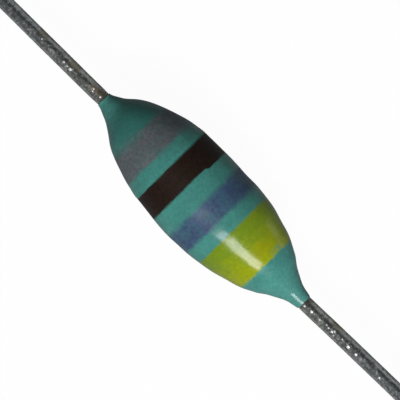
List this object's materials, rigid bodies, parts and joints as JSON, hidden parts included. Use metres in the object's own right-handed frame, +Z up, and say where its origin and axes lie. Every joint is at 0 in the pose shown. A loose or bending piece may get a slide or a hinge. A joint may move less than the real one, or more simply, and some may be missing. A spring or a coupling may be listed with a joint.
{
  "type": "axial inductor",
  "caption": "Small lacquered choke with painted colour bands round a spindle-shaped body and a straight tinned wire lead at each end.",
  "frame": {"origin": "middle of the lacquered body, on the axis of the leads", "axes": "+X along the leads, away from the first colour band; +Z up; the picture looks down -Z"},
  "size_m": [0.064, 0.0038, 0.0038],
  "materials": {
    "lacquer_green": "gloss",
    "paint_yellow": "satin",
    "paint_violet": "satin",
    "paint_brown": "satin",
    "paint_silver": "satin",
    "ferrite": "matte",
    "enamelled_wire": "gloss",
    "tinned_copper": "satin",
    "solder": "gloss",
    "adhesive": "satin"
  },
  "bodies": {
    "root": {"lacquer_coat": "lacquer_green", "band_1_yellow": "paint_yellow", "band_2_violet": "paint_violet", "band_3_brown": "paint_brown", "band_4_silver": "paint_silver", "drum_core": "ferrite", "winding": "enamelled_wire", "lead_left": "tinned_copper", "lead_right": "tinned_copper", "lead_adhesive_left": "adhesive", "lead_adhesive_right": "adhesive", "solder_joint_left": "solder", "solder_joint_right": "solder"}
  },
  "joints": []
}
